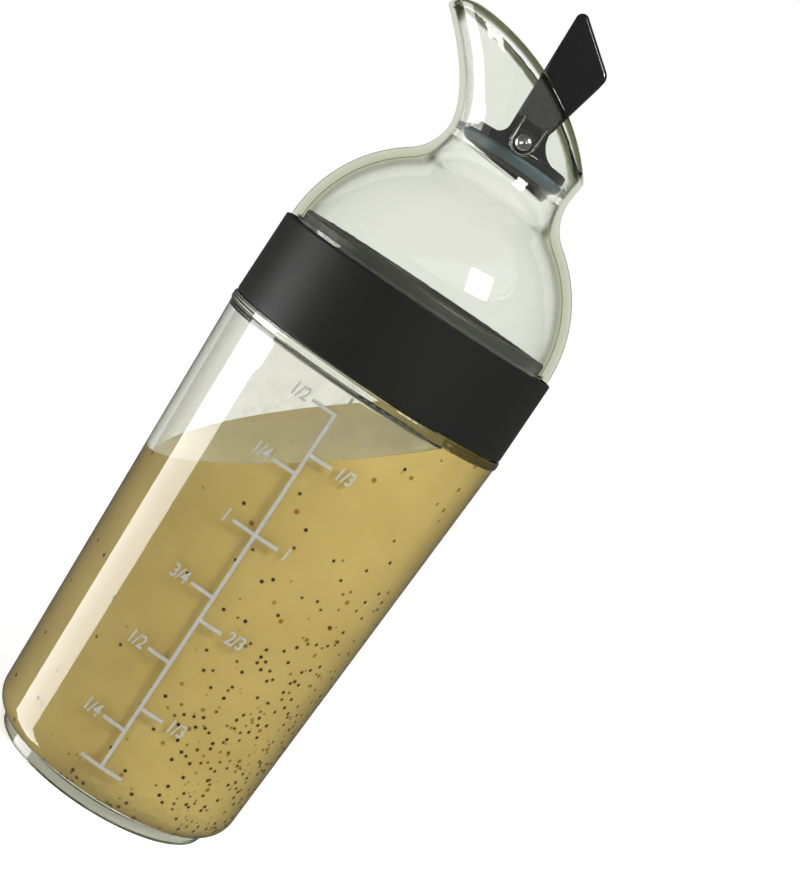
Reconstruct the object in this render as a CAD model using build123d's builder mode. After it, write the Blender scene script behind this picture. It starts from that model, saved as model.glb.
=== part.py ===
from build123d import *
import os
from math import pi, sqrt

# Salad dressing shaker: a clear bottle, a clear pouring lid that screws on, and a lever-worked stopper.
# Millimetres. The origin is the middle of the foot on the table, +Z runs up the bottle and the
# spout points to -X.

# Bottle body
BODY_BASE_R = 32.4  # outer radius of the tapered wall, carried down to the table
BODY_TOP_R = 37.4  # outer radius of the wall at the shoulder
BODY_BASE_Z = 2.6  # underside of the body, above the foot
SHOULDER_Z = 117.2  # top of the shoulder
BODY_WALL = 2.2
FLOOR_WALL = 1.8
SHOULDER_WALL = 2.2
CORNER_R = 6.0  # rounding of the body's bottom corner
BEAD_PROUD = 0.25  # how far the shoulder's bead stands out from the wall
BEAD_HEIGHT = 2.2

# Foot ring
FOOT_R = 28.3
FOOT_WALL = 2.2
FOOT_EDGE_R = 0.6

# Bottle neck, inside the lid
NECK_INSET = 4.4  # from the shoulder's edge in to the neck
NECK_WALL = 2.2
NECK_HEIGHT = 21.1  # from the shoulder up to the rim

# Screw thread, right-handed
THREAD_STARTS = 2
THREAD_LEAD = 12.0  # rise in one turn
THREAD_DEPTH = 1.4
THREAD_ROOT_WIDTH = 3.2
THREAD_CREST_WIDTH = 2.0
THREAD_GAP = 0.5  # from each crest to the wall it faces
THREAD_RISE = 6.3  # from the shoulder up to the middle of the bottle's rib where it begins
BOTTLE_THREAD_TURNS = 0.75
LID_THREAD_TURNS = 0.5
THREAD_SINK = 0.4  # how far a rib's root is sunk in its wall

# Printed scales
PRINT_THICKNESS = 0.12
LINE_WIDTH = 0.85
TICK_LENGTH = 6.0
BAR_LENGTH = 11.0
SCALE_X = -1.3  # the front scale stands a little towards the spout
SCALE_FOOT_Z = 12.0
SCALE_ZERO_Z = 2.3  # level of an empty bottle, for the scales' volumes
CUP_VOLUME = 236_588.0
OUNCE_VOLUME = 29_574.0
QUARTERS = (1 / 4, 1 / 2, 3 / 4, 1, 5 / 4, 3 / 2)
THIRDS = (1 / 3, 2 / 3, 1, 4 / 3)
OUNCES = (2, 4, 6, 8, 10, 12)

# Dressing
DRESSING_GAP = 0.05  # between the dressing and the bottle's inside
DRESSING_LEVEL_Z = 100.2  # height of its surface on the bottle's axis
DRESSING_RISE_X = 0.77  # how steeply the surface rises to +X
DRESSING_RISE_Y = 0.13

# Lid: collar, skirt, dome and neck
COLLAR_GAP = 0.3  # above the bottle's shoulder
COLLAR_WALL = 1.3
COLLAR_OVER_RIM = 0.7  # how far the collar's top stands over the bottle's rim
COLLAR_EDGE_R = 0.5
SKIRT_WALL = 1.1
SKIRT_RECESS = 0.4  # how far the skirt stops above the collar's lower edge
BOND_GAP = 0.02
DOME_OVERHANG = 0.3  # how far the dome stands out from the skirt where it leaves the collar
DOME_CENTRE_X = 1.4  # how far the dome's arc is centred off the axis
DOME_WALL = 2.2
DOME_NECK_RISE = 3.2  # how far the neck's narrowest place stands over the dome's arc
SPOUT_NECK_R = 16.7  # narrowest outer radius
SEAT_WALL = 2.6  # round the bore that the stopper closes
SEAT_DROP = 2.2  # from the neck's narrowest place down to the bore's foot
SEAT_HEIGHT = 4.1

# Spout, cut on a slant. The rim's points are seen from the side, with heights over the neck's narrowest place
SPOUT_HEIGHT = 27.9
SPOUT_REACH = 22.0  # how far the front runs out from the neck's radius at that height
SPOUT_CURL = 1.65  # how late the front curls outwards
REAR_FLARE = 3.6
REAR_CURL = 1.2
SIDE_DRAW = 1.6  # how far each side draws in
SPOUT_WALL = 2.2
SPOUT_SECTIONS = 7
RIM_REAR = (17.4, 5.2)
RIM_MIDDLE = (2.0, 17.5)
RIM_CREST = (-25.0, 25.6)
RIM_TIP = (-34.0, 22.1)
RIM_EDGE_R = 0.6

# Gasket, in the lid above the bottle's rim
GASKET_GAP = 0.3
GASKET_FLANGE = 1.0
GASKET_LIP_HEIGHT = 2.7
GASKET_LIP_WALL = 2.4

# Pivot
PIN_R = 1.5
PIN_RISE = 4.8  # over the neck's narrowest place
PIN_HOLD_GAP = 0.02  # in the lid's ears, where the pin stays still
PIN_RUN_GAP = 0.05  # in the lever, which turns on it
PIN_HEAD_R = 1.9
PIN_HEAD_HEIGHT = 1.1
PIN_DIMPLE_R = 0.5
PIN_TAIL = 0.7  # how far the pin's tail enters its cap
EAR_R = 3.3
EAR_PROUD = 0.6  # how far each ear's face stands out from the neck's radius
EAR_POCKET_R = 2.2
EAR_POCKET_DEPTH = 0.6
EAR_RIB_WIDTH = 1.0
EAR_RIB_HEIGHT = 5.6

# Lever. The pad's points are seen from the side, with heights over the neck's narrowest place
PLATE_GAP = 1.0  # from the plate's edge to the bore
PLATE_RISE = 1.8  # from the neck's narrowest place up to the plate
PLATE_HEIGHT = 2.4
PLATE_EDGE_R = 0.8
HUB_R = 3.0
HUB_END_GAP = 0.6  # how far each end of the hub stops short of the seat's bore
ARM_FRONT_X = -4.8
ARM_REAR_X = 4.0  # the arm's rear face at its waist
ARM_WAIST_RISE = 6.1  # the waist's height over the plate
ARM_WIDTH = 12.0
PAD_FLARE = 2.0  # how far the pad stands out from the arm on each side
PAD_RISE = 25.9  # from here up the lever has the pad's width
PAD_REAR = (8.2, 28.3)
PAD_REAR_R = 2.5
LEVER_TIP = (-6.0, 39.3)
LEVER_TIP_R = 1.6
HEEL_X = 9.5  # where the arm's heel runs out on the plate
TOE_LENGTH = 3.0
LEVER_EDGE_R = 1.0

# Stopper's seal and plug, carried under the lever's plate
SEAL_GAP = 0.45  # from the seal to the bore
SEAL_TAPER = 0.95  # how far the seal draws in at its foot
SEAL_LAND = 0.4
SEAL_HEIGHT = 2.7
SEAL_BORE_R = 9.0
PLUG_INSET = 0.3  # from the seal's foot in to the plug
PLUG_TAPER = 1.4  # how far the plug draws in at its deepest, so that it swings clear of its seat
PLUG_FRONT = 0.6  # the plug's depth under the seal, at the front
PLUG_REAR = 3.2
PLUG_FIT_GAP = 0.05
PLUG_STUB_R = 5.0
PLUG_STUB_HEIGHT = 0.7


def wall_radius(z):
    """Outer radius of the bottle's tapered wall at height z."""
    return BODY_BASE_R + (BODY_TOP_R - BODY_BASE_R) * z / SHOULDER_Z


def volume_height(volume):
    """Height of a level that holds this volume in the tapered bottle."""
    slope = (BODY_TOP_R - BODY_BASE_R) / SHOULDER_Z
    zero_r = wall_radius(SCALE_ZERO_Z) - BODY_WALL
    level_r = (zero_r**3 + 3 * slope * volume / pi) ** (1 / 3)
    return SCALE_ZERO_Z + (level_r - zero_r) / slope


# Places that follow from the sizes above
UPRIGHT = (Align.CENTER, Align.CENTER, Align.MIN)  # a cylinder that stands on its place
FLOOR_Z = BODY_BASE_Z + FLOOR_WALL
SHOULDER_UNDER_Z = SHOULDER_Z - SHOULDER_WALL
NECK_OUTER_R = BODY_TOP_R - NECK_INSET
NECK_INNER_R = NECK_OUTER_R - NECK_WALL
RIM_Z = SHOULDER_Z + NECK_HEIGHT
BOTTLE_THREAD_Z = SHOULDER_Z + THREAD_RISE
COLLAR_Z = SHOULDER_Z + COLLAR_GAP
COLLAR_TOP_Z = RIM_Z + COLLAR_OVER_RIM
SKIRT_Z = COLLAR_Z + SKIRT_RECESS
SKIRT_INNER_R = NECK_OUTER_R + THREAD_DEPTH + THREAD_GAP
SKIRT_OUTER_R = SKIRT_INNER_R + SKIRT_WALL
COLLAR_INNER_R = SKIRT_OUTER_R + BOND_GAP
GASKET_Z = RIM_Z + GASKET_GAP
GASKET_SEAT_Z = GASKET_Z + GASKET_FLANGE + GASKET_GAP
DOME_R = SKIRT_OUTER_R + DOME_OVERHANG
DOME_ARC_R = DOME_R - DOME_CENTRE_X
NECK_RISE = DOME_ARC_R + DOME_NECK_RISE
SPOUT_NECK_Z = COLLAR_TOP_Z + NECK_RISE
SPOUT_TOP_Z = SPOUT_NECK_Z + SPOUT_HEIGHT
SEAT_R = SPOUT_NECK_R - SEAT_WALL
SEAT_Z = SPOUT_NECK_Z - SEAT_DROP
SEAT_TOP_Z = SEAT_Z + SEAT_HEIGHT
PLATE_R = SEAT_R - PLATE_GAP
PLATE_Z = SPOUT_NECK_Z + PLATE_RISE
PLATE_TOP_Z = PLATE_Z + PLATE_HEIGHT
PAD_WIDTH = ARM_WIDTH + 2 * PAD_FLARE
SEAL_R = SEAT_R - SEAL_GAP
SEAL_FOOT_R = SEAL_R - SEAL_TAPER
SEAL_Z = PLATE_Z - SEAL_HEIGHT
PLUG_R = SEAL_FOOT_R - PLUG_INSET
PLUG_FOOT_R = PLUG_R - PLUG_TAPER
EAR_Y = SPOUT_NECK_R + EAR_PROUD
EAR_SEAT_Y = EAR_Y - EAR_POCKET_DEPTH
PIN_Z = SPOUT_NECK_Z + PIN_RISE
PIN_AXIS = Axis((0, 0, PIN_Z), (0, 1, 0))

# The dome's arc runs into the neck's fillet, which stands upright at the neck
NECK_REACH = SPOUT_NECK_R - DOME_CENTRE_X
NECK_ARC_R = (NECK_REACH**2 + NECK_RISE**2 - DOME_ARC_R**2) / (2 * (DOME_ARC_R - NECK_REACH))
NECK_CENTRE_X = SPOUT_NECK_R + NECK_ARC_R


def corner(sketch, x, z):
    """The sketch's vertex nearest to a point of its own plane."""
    return sketch.vertices().sort_by_distance((x, z, 0))[0]


def over_neck(point):
    """Place of a side-view point that is given by its height over the neck's narrowest place."""
    x, rise = point
    return (x, SPOUT_NECK_Z + rise)


def cavity_sketch(gap):
    """Half section of the bottle's inside, drawn in by a gap."""
    floor_z = FLOOR_Z + gap
    under_z = SHOULDER_UNDER_Z - gap
    neck_r = NECK_INNER_R - gap
    floor_r = wall_radius(floor_z) - BODY_WALL - gap
    under_r = wall_radius(under_z) - BODY_WALL - gap
    with BuildSketch(Plane.XZ) as cavity:
        with BuildLine():
            Polyline(
                (0, floor_z), (floor_r, floor_z), (under_r, under_z), (neck_r, under_z),
                (neck_r, RIM_Z + gap), (0, RIM_Z + gap), close=True,
            )
        make_face()
        fillet(corner(cavity, floor_r, floor_z), CORNER_R - BODY_WALL)
        fillet(corner(cavity, under_r, under_z), SHOULDER_WALL / 2)
    return cavity.sketch


def thread_rib(root_r, outward, start_z, turns):
    """One helical rib, which stands out from root_r where outward is 1 and in from it where it is -1."""
    with BuildPart() as rib:
        with BuildLine() as rise:
            Helix(THREAD_LEAD, THREAD_LEAD * turns, root_r, center=(0, 0, start_z))
        with BuildSketch(Plane(rise.line @ 0, x_dir=(outward, 0, 0), z_dir=rise.line % 0)):
            with BuildLine():
                Polyline(
                    (-THREAD_SINK, -THREAD_ROOT_WIDTH / 2), (0, -THREAD_ROOT_WIDTH / 2),
                    (THREAD_DEPTH, -THREAD_CREST_WIDTH / 2), (THREAD_DEPTH, THREAD_CREST_WIDTH / 2),
                    (0, THREAD_ROOT_WIDTH / 2), (-THREAD_SINK, THREAD_ROOT_WIDTH / 2), close=True,
                )
            make_face()
        sweep(path=rise.line, is_frenet=True)
    return rib.part


def make_bottle():
    """Clear bottle: tapered wall, rounded corner, foot ring, shoulder bead, neck and thread."""
    base_r = wall_radius(BODY_BASE_Z)
    bottle_rib = thread_rib(NECK_OUTER_R, 1, BOTTLE_THREAD_Z, BOTTLE_THREAD_TURNS)
    cavity = cavity_sketch(0)
    with BuildPart() as bottle:
        with BuildSketch(Plane.XZ) as body:
            with BuildLine():
                Polyline(
                    (0, BODY_BASE_Z), (base_r, BODY_BASE_Z), (BODY_TOP_R, SHOULDER_Z),
                    (NECK_OUTER_R, SHOULDER_Z), (NECK_OUTER_R, RIM_Z), (0, RIM_Z), close=True,
                )
            make_face()
            fillet(corner(body, base_r, BODY_BASE_Z), CORNER_R)
        revolve(axis=Axis.Z)
        with BuildSketch(Plane.XZ) as bead:
            with Locations((BODY_TOP_R + BEAD_PROUD, SHOULDER_Z)):
                Rectangle(BEAD_PROUD + BODY_WALL, BEAD_HEIGHT, align=(Align.MAX, Align.MAX))
            fillet(bead.vertices().group_by(Axis.X)[-1], BEAD_HEIGHT / 4)
        revolve(axis=Axis.Z)
        with BuildSketch(Plane.XZ) as foot:
            with Locations((FOOT_R, 0)):
                Rectangle(FOOT_WALL, BODY_BASE_Z + FLOOR_WALL / 2, align=(Align.MAX, Align.MIN))
            fillet(foot.vertices().group_by(Axis.Y)[0], FOOT_EDGE_R)
        revolve(axis=Axis.Z)
        add(cavity)
        revolve(axis=Axis.Z, mode=Mode.SUBTRACT)
        with PolarLocations(0, THREAD_STARTS):
            add(bottle_rib)
        fillet(bottle.edges().filter_by(GeomType.CIRCLE).group_by(Axis.Z)[-1], NECK_WALL / 4)
    return bottle


def print_layer(marks, side):
    """The marks as a layer on the bottle's wall, at the front where side is -1 and the rear where it is 1."""
    with BuildPart() as layer:
        with BuildSketch(Plane.XZ):
            with BuildLine():
                Polyline(
                    (BODY_BASE_R, 0), (BODY_BASE_R + PRINT_THICKNESS, 0),
                    (BODY_TOP_R + PRINT_THICKNESS, SHOULDER_Z), (BODY_TOP_R, SHOULDER_Z), close=True,
                )
            make_face()
        revolve(axis=Axis.Z)
        extrude(marks, amount=-side * 2 * BODY_TOP_R, mode=Mode.INTERSECT)
    return layer


def make_cup_scale():
    """Front scale in cups: quarters towards the spout, thirds towards the lever."""
    top_z = volume_height(CUP_VOLUME * QUARTERS[-1])
    line_height = top_z - SCALE_FOOT_Z + LINE_WIDTH / 2
    with BuildSketch(Plane.XZ) as marks:
        with Locations((SCALE_X, SCALE_FOOT_Z)):
            Rectangle(BAR_LENGTH, LINE_WIDTH)
            Rectangle(LINE_WIDTH, line_height, align=(Align.CENTER, Align.MIN))
        for cups in QUARTERS:
            with Locations((SCALE_X, volume_height(CUP_VOLUME * cups))):
                Rectangle(TICK_LENGTH, LINE_WIDTH, align=(Align.MAX, Align.CENTER))
        for cups in THIRDS:
            with Locations((SCALE_X, volume_height(CUP_VOLUME * cups))):
                Rectangle(TICK_LENGTH, LINE_WIDTH, align=(Align.MIN, Align.CENTER))
    return print_layer(marks.sketch, -1)


def make_ounce_scale():
    """Rear scale in fluid ounces, with its ticks on one side."""
    top_z = volume_height(OUNCE_VOLUME * OUNCES[-1])
    line_height = top_z - SCALE_FOOT_Z + LINE_WIDTH / 2
    with BuildSketch(Plane.XZ) as marks:
        with Locations((0, SCALE_FOOT_Z)):
            Rectangle(LINE_WIDTH, line_height, align=(Align.CENTER, Align.MIN))
        for ounces in OUNCES:
            with Locations((0, volume_height(OUNCE_VOLUME * ounces))):
                Rectangle(TICK_LENGTH, LINE_WIDTH, align=(Align.MIN, Align.CENTER))
    return print_layer(marks.sketch, 1)


def make_dressing():
    """The dressing in the bottle, with the level surface that it has while the bottle is tipped to pour."""
    cavity = cavity_sketch(DRESSING_GAP)
    surface = Plane((0, 0, DRESSING_LEVEL_Z), z_dir=(-DRESSING_RISE_X, -DRESSING_RISE_Y, 1))
    with BuildPart() as dressing:
        add(cavity)
        revolve(axis=Axis.Z)
        split(bisect_by=surface, keep=Keep.BOTTOM)
    return dressing


def dome_sketch(inset, foot_z, top_z):
    """Half section under the dome's curve, drawn in by inset, from foot_z up to top_z."""
    dome_r = DOME_ARC_R - inset
    fillet_r = NECK_ARC_R + inset
    span = DOME_ARC_R + NECK_ARC_R
    turn = (
        DOME_CENTRE_X + (NECK_CENTRE_X - DOME_CENTRE_X) * dome_r / span,
        COLLAR_TOP_Z + NECK_RISE * dome_r / span,
    )
    start = (DOME_CENTRE_X + sqrt(dome_r**2 - (foot_z - COLLAR_TOP_Z) ** 2), foot_z)
    end = (NECK_CENTRE_X - sqrt(fillet_r**2 - (SPOUT_NECK_Z - top_z) ** 2), top_z)
    with BuildSketch(Plane.XZ) as section:
        with BuildLine():
            RadiusArc(start, turn, -dome_r)
            RadiusArc(turn, end, fillet_r)
            Polyline(end, (0, top_z), (0, foot_z), start)
        make_face()
    return section.sketch


def spout_loft(inset, low_z):
    """The spout's solid form from low_z up, drawn in by inset: ellipses whose front curls out."""
    with BuildPart() as spout:
        for step in range(SPOUT_SECTIONS):
            z = low_z + (SPOUT_TOP_Z - low_z) * step / (SPOUT_SECTIONS - 1)
            rise = (z - SPOUT_NECK_Z) / (SPOUT_TOP_Z - SPOUT_NECK_Z)
            front = SPOUT_NECK_R + SPOUT_REACH * rise**SPOUT_CURL
            rear = SPOUT_NECK_R + REAR_FLARE * rise**REAR_CURL
            side = SPOUT_NECK_R - SIDE_DRAW * rise
            with BuildSketch(Plane.XY.offset(z)):
                with Locations(((rear - front) / 2, 0)):
                    Ellipse((front + rear) / 2 - inset, side - inset)
        loft()
    return spout.part


def ear_sketch(side):
    """Outline of one of the pivot's ears, with a rib that tapers up from each of its sides."""
    with BuildSketch(Plane.XZ.offset(side * EAR_Y)) as ear:
        with Locations((0, PIN_Z)):
            Circle(EAR_R)
        for edge in (-1, 1):
            with BuildLine():
                Polyline(
                    (edge * EAR_R, PIN_Z), (edge * (EAR_R - EAR_RIB_WIDTH), PIN_Z),
                    (edge * (EAR_R - EAR_RIB_WIDTH / 2), PIN_Z + EAR_RIB_HEIGHT), close=True,
                )
            make_face()
    return ear.sketch


def above_rim_sketch():
    """Everything above the spout's slanted rim, seen from the side."""
    rear = over_neck(RIM_REAR)
    tip = over_neck(RIM_TIP)
    behind_x = 2 * rear[0]
    before_x = -behind_x - SPOUT_REACH
    above_z = 2 * SPOUT_TOP_Z
    with BuildSketch(Plane.XZ) as above:
        with BuildLine():
            slope = ThreePointArc(rear, over_neck(RIM_MIDDLE), over_neck(RIM_CREST))
            nose = TangentArc(slope @ 1, tip, tangent=slope % 1)
            Polyline(
                nose @ 1, (before_x, tip[1]), (before_x, above_z), (behind_x, above_z),
                (behind_x, rear[1]), rear,
            )
        make_face()
    return above.sketch


def make_lid_shell():
    """Clear lid: threaded skirt, dome, neck with the stopper's seat, slanted spout and the pivot's ears."""
    dome_outside = dome_sketch(0, COLLAR_TOP_Z, SPOUT_NECK_Z)
    dome_inside = dome_sketch(DOME_WALL, COLLAR_TOP_Z, SEAT_Z)
    spout_outside = spout_loft(0, SPOUT_NECK_Z)
    spout_inside = spout_loft(SPOUT_WALL, SEAT_TOP_Z)
    lid_thread_z = BOTTLE_THREAD_Z - THREAD_LEAD / THREAD_STARTS / 2
    lid_rib = thread_rib(SKIRT_INNER_R, -1, lid_thread_z, LID_THREAD_TURNS)
    with BuildPart() as lid:
        add(dome_outside)
        revolve(axis=Axis.Z)
        add(spout_outside)
        for side in (-1, 1):
            extrude(ear_sketch(side), amount=EAR_Y - SEAT_R, dir=(0, side, 0))
        with Locations((0, 0, SKIRT_Z)):
            Cylinder(SKIRT_OUTER_R, COLLAR_TOP_Z - SKIRT_Z, align=UPRIGHT)
        add(dome_inside)
        revolve(axis=Axis.Z, mode=Mode.SUBTRACT)
        with Locations((0, 0, SKIRT_Z)):
            Cylinder(SKIRT_INNER_R, GASKET_SEAT_Z - SKIRT_Z, align=UPRIGHT, mode=Mode.SUBTRACT)
        with Locations((0, 0, SEAT_Z)):
            Cylinder(SEAT_R, SEAT_HEIGHT, align=UPRIGHT, mode=Mode.SUBTRACT)
        add(spout_inside, mode=Mode.SUBTRACT)
        extrude(above_rim_sketch(), amount=2 * SPOUT_NECK_R, both=True, mode=Mode.SUBTRACT)
        rim_edges = lid.edges().filter_by_position(
            Axis.Z, over_neck(RIM_REAR)[1] - RIM_EDGE_R, SPOUT_TOP_Z
        )
        fillet(rim_edges.sort_by(SortBy.LENGTH)[-2:], RIM_EDGE_R)
        with Locations(Location((0, 0, PIN_Z), (90, 0, 0))):
            Cylinder(PIN_R + PIN_HOLD_GAP, 2 * EAR_Y, mode=Mode.SUBTRACT)
        for side in (-1, 1):
            with Locations(Location((0, side * EAR_Y, PIN_Z), (90, 0, 0))):
                Cylinder(EAR_POCKET_R, 2 * EAR_POCKET_DEPTH, mode=Mode.SUBTRACT)
        with PolarLocations(0, THREAD_STARTS):
            add(lid_rib)
    return lid


def make_grip_collar():
    """Soft black band round the lid's skirt."""
    with BuildPart() as collar:
        with BuildSketch(Plane.XZ) as band:
            with Locations((COLLAR_INNER_R, COLLAR_Z)):
                Rectangle(COLLAR_WALL, COLLAR_TOP_Z - BOND_GAP - COLLAR_Z, align=(Align.MIN, Align.MIN))
            fillet(band.vertices().group_by(Axis.X)[-1], COLLAR_EDGE_R)
        revolve(axis=Axis.Z)
    return collar


def make_lid_gasket():
    """Ring with a flange under the lid's seat and a lip inside the dome."""
    flange_r = SKIRT_INNER_R - GASKET_GAP
    lip_r = DOME_R - DOME_WALL - 2 * GASKET_GAP
    with BuildPart() as gasket:
        with BuildSketch(Plane.XZ) as ring:
            with Locations((flange_r, GASKET_Z)):
                Rectangle(flange_r - lip_r + GASKET_LIP_WALL, GASKET_FLANGE, align=(Align.MAX, Align.MIN))
            with Locations((lip_r, GASKET_Z)):
                Rectangle(
                    GASKET_LIP_WALL, GASKET_FLANGE + GASKET_LIP_HEIGHT, align=(Align.MAX, Align.MIN)
                )
            fillet(ring.vertices().group_by(Axis.Y)[-1], GASKET_LIP_WALL / 3)
        revolve(axis=Axis.Z)
    return gasket


def pin_head_sketch(side):
    """Half section of a domed, dimpled pin head that sits in its ear's pocket."""
    seat_y = side * EAR_SEAT_Y
    edge_y = seat_y + side * PIN_HEAD_HEIGHT / 2
    top_y = seat_y + side * PIN_HEAD_HEIGHT
    with BuildSketch(Plane.XY.offset(PIN_Z)) as head:
        with BuildLine():
            Polyline((0, seat_y), (PIN_HEAD_R, seat_y), (PIN_HEAD_R, edge_y))
            TangentArc((PIN_HEAD_R, edge_y), (PIN_DIMPLE_R, top_y), tangent=(0, side))
            Polyline((PIN_DIMPLE_R, top_y), (0, top_y - side * PIN_DIMPLE_R / 2), (0, seat_y))
        make_face()
    return head.sketch


def make_pivot_pin():
    """Steel pin through the lid's ears and the lever, with a domed head in front and a tail at the rear."""
    head = pin_head_sketch(-1)
    with BuildPart() as pin:
        add(head)
        revolve(axis=PIN_AXIS)
        with Locations(Location((0, PIN_TAIL / 2, PIN_Z), (90, 0, 0))):
            Cylinder(PIN_R, 2 * EAR_SEAT_Y + PIN_TAIL)
    return pin


def make_pin_cap():
    """Domed cap pressed on the pin's tail."""
    head = pin_head_sketch(1)
    with BuildPart() as cap:
        add(head)
        revolve(axis=PIN_AXIS)
        with Locations(Location((0, EAR_SEAT_Y, PIN_Z), (90, 0, 0))):
            Cylinder(PIN_R + PIN_HOLD_GAP, 2 * (PIN_TAIL + PIN_HOLD_GAP), mode=Mode.SUBTRACT)
    return cap


def make_lever():
    """Black lever: the stopper's top plate, a hub on the pin, the arm and its slanted thumb pad."""
    waist_z = PLATE_TOP_Z + ARM_WAIST_RISE
    pad_z = SPOUT_NECK_Z + PAD_RISE
    pad_rear = over_neck(PAD_REAR)
    tip = over_neck(LEVER_TIP)
    with BuildPart() as lever:
        with BuildSketch(Plane.XZ) as side_view:
            with BuildLine():
                Line((HEEL_X, PLATE_TOP_Z), (HEEL_X, PLATE_Z))
                Line((HEEL_X, PLATE_Z), (ARM_FRONT_X - TOE_LENGTH, PLATE_Z))
                Line((ARM_FRONT_X - TOE_LENGTH, PLATE_Z), (ARM_FRONT_X - TOE_LENGTH, PLATE_TOP_Z))
                TangentArc(
                    (ARM_FRONT_X, PLATE_TOP_Z + TOE_LENGTH), (ARM_FRONT_X - TOE_LENGTH, PLATE_TOP_Z),
                    tangent=(0, -1),
                )
                Polyline((ARM_FRONT_X, PLATE_TOP_Z + TOE_LENGTH), tip, pad_rear, (ARM_REAR_X, waist_z))
                TangentArc((ARM_REAR_X, waist_z), (HEEL_X, PLATE_TOP_Z), tangent=(0, -1))
            make_face()
            fillet(corner(side_view, *tip), LEVER_TIP_R)
            fillet(corner(side_view, *pad_rear), PAD_REAR_R)
        extrude(amount=PAD_WIDTH / 2, both=True)
        with BuildSketch(Plane.YZ):
            with BuildLine():
                Polyline(
                    (ARM_WIDTH / 2, PLATE_Z), (ARM_WIDTH / 2, waist_z), (PAD_WIDTH / 2, pad_z),
                    (PAD_WIDTH / 2, tip[1]), (-PAD_WIDTH / 2, tip[1]), (-PAD_WIDTH / 2, pad_z),
                    (-ARM_WIDTH / 2, waist_z), (-ARM_WIDTH / 2, PLATE_Z), close=True,
                )
            make_face()
        extrude(amount=2 * PLATE_R, both=True, mode=Mode.INTERSECT)
        fillet(lever.edges().filter_by_position(Axis.Z, waist_z, tip[1]), LEVER_EDGE_R)
        with Locations((0, 0, PLATE_Z)):
            plate = Cylinder(PLATE_R, PLATE_HEIGHT, align=UPRIGHT)
        fillet(plate.edges().filter_by(GeomType.CIRCLE).sort_by(Axis.Z)[-1], PLATE_EDGE_R)
        with Locations(Location((0, 0, PIN_Z), (90, 0, 0))):
            Cylinder(HUB_R, 2 * (SEAT_R - HUB_END_GAP))
        with Locations((0, 0, PLATE_Z)):
            Cylinder(PLATE_R, HUB_R, align=(Align.CENTER, Align.CENTER, Align.MAX), mode=Mode.SUBTRACT)
            Cylinder(
                PLUG_STUB_R + PLUG_FIT_GAP, PLUG_STUB_HEIGHT + PLUG_FIT_GAP,
                align=UPRIGHT, mode=Mode.SUBTRACT,
            )
        with Locations(Location((0, 0, PIN_Z), (90, 0, 0))):
            Cylinder(PIN_R + PIN_RUN_GAP, 2 * SEAT_R, mode=Mode.SUBTRACT)
    return lever


def make_stopper_seal():
    """Silicone ring under the lever's plate, tapered so that it swings clear of its seat."""
    with BuildPart() as seal:
        with BuildSketch(Plane.XZ):
            with BuildLine():
                Polyline(
                    (SEAL_BORE_R + PLUG_FIT_GAP, SEAL_Z), (SEAL_FOOT_R, SEAL_Z),
                    (SEAL_R, PLATE_Z - 2 * SEAL_LAND), (SEAL_R, PLATE_Z - SEAL_LAND),
                    (SEAL_R - SEAL_LAND, PLATE_Z), (SEAL_BORE_R + PLUG_FIT_GAP, PLATE_Z), close=True,
                )
            make_face()
        revolve(axis=Axis.Z)
    return seal


def make_stopper_plug():
    """Plug that holds the seal up against the lever: a slant-bottomed cone, a core and a locating stub."""
    slant = Plane(
        (0, 0, SEAL_Z - (PLUG_FRONT + PLUG_REAR) / 2), z_dir=(PLUG_REAR - PLUG_FRONT, 0, 2 * PLUG_R)
    )
    with BuildPart() as plug:
        with Locations((0, 0, SEAL_Z - PLUG_REAR)):
            Cone(PLUG_FOOT_R, PLUG_R, PLUG_REAR, align=UPRIGHT)
        split(bisect_by=slant, keep=Keep.TOP)
        with Locations((0, 0, SEAL_Z)):
            Cylinder(SEAL_BORE_R, SEAL_HEIGHT, align=UPRIGHT)
        with Locations((0, 0, PLATE_Z)):
            Cylinder(PLUG_STUB_R, PLUG_STUB_HEIGHT, align=UPRIGHT)
    return plug


PIECES = {
    "bottle": make_bottle,
    "cup_scale": make_cup_scale,
    "ounce_scale": make_ounce_scale,
    "dressing": make_dressing,
    "lid_shell": make_lid_shell,
    "grip_collar": make_grip_collar,
    "lid_gasket": make_lid_gasket,
    "pivot_pin": make_pivot_pin,
    "pin_cap": make_pin_cap,
    "lever": make_lever,
    "stopper_seal": make_stopper_seal,
    "stopper_plug": make_stopper_plug,
}

os.makedirs("parts", exist_ok=True)
for name, make in PIECES.items():
    piece = make()
    piece.part.label = name
    export_step(piece.part, f"parts/{name}.step")
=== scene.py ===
"""Salad dressing shaker: clear bottle with printed marks, pouring lid and lever-worked stopper."""

import math

import bmesh
import bpy
from mathutils import Matrix, Vector


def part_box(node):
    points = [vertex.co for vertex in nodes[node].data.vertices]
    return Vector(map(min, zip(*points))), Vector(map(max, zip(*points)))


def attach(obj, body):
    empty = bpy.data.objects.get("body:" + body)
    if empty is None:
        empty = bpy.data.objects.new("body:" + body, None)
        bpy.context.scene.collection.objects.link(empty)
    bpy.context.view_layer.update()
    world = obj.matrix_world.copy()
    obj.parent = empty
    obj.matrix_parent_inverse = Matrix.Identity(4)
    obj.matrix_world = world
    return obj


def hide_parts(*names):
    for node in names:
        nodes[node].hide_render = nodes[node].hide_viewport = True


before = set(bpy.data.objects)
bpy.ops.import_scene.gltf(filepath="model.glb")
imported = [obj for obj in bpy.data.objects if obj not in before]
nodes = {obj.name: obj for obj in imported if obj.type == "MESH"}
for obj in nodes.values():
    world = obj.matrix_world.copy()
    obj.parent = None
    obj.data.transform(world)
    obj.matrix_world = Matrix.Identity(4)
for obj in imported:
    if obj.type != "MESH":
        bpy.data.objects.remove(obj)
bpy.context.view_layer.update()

MM = 0.001  # one millimetre in scene units

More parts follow.
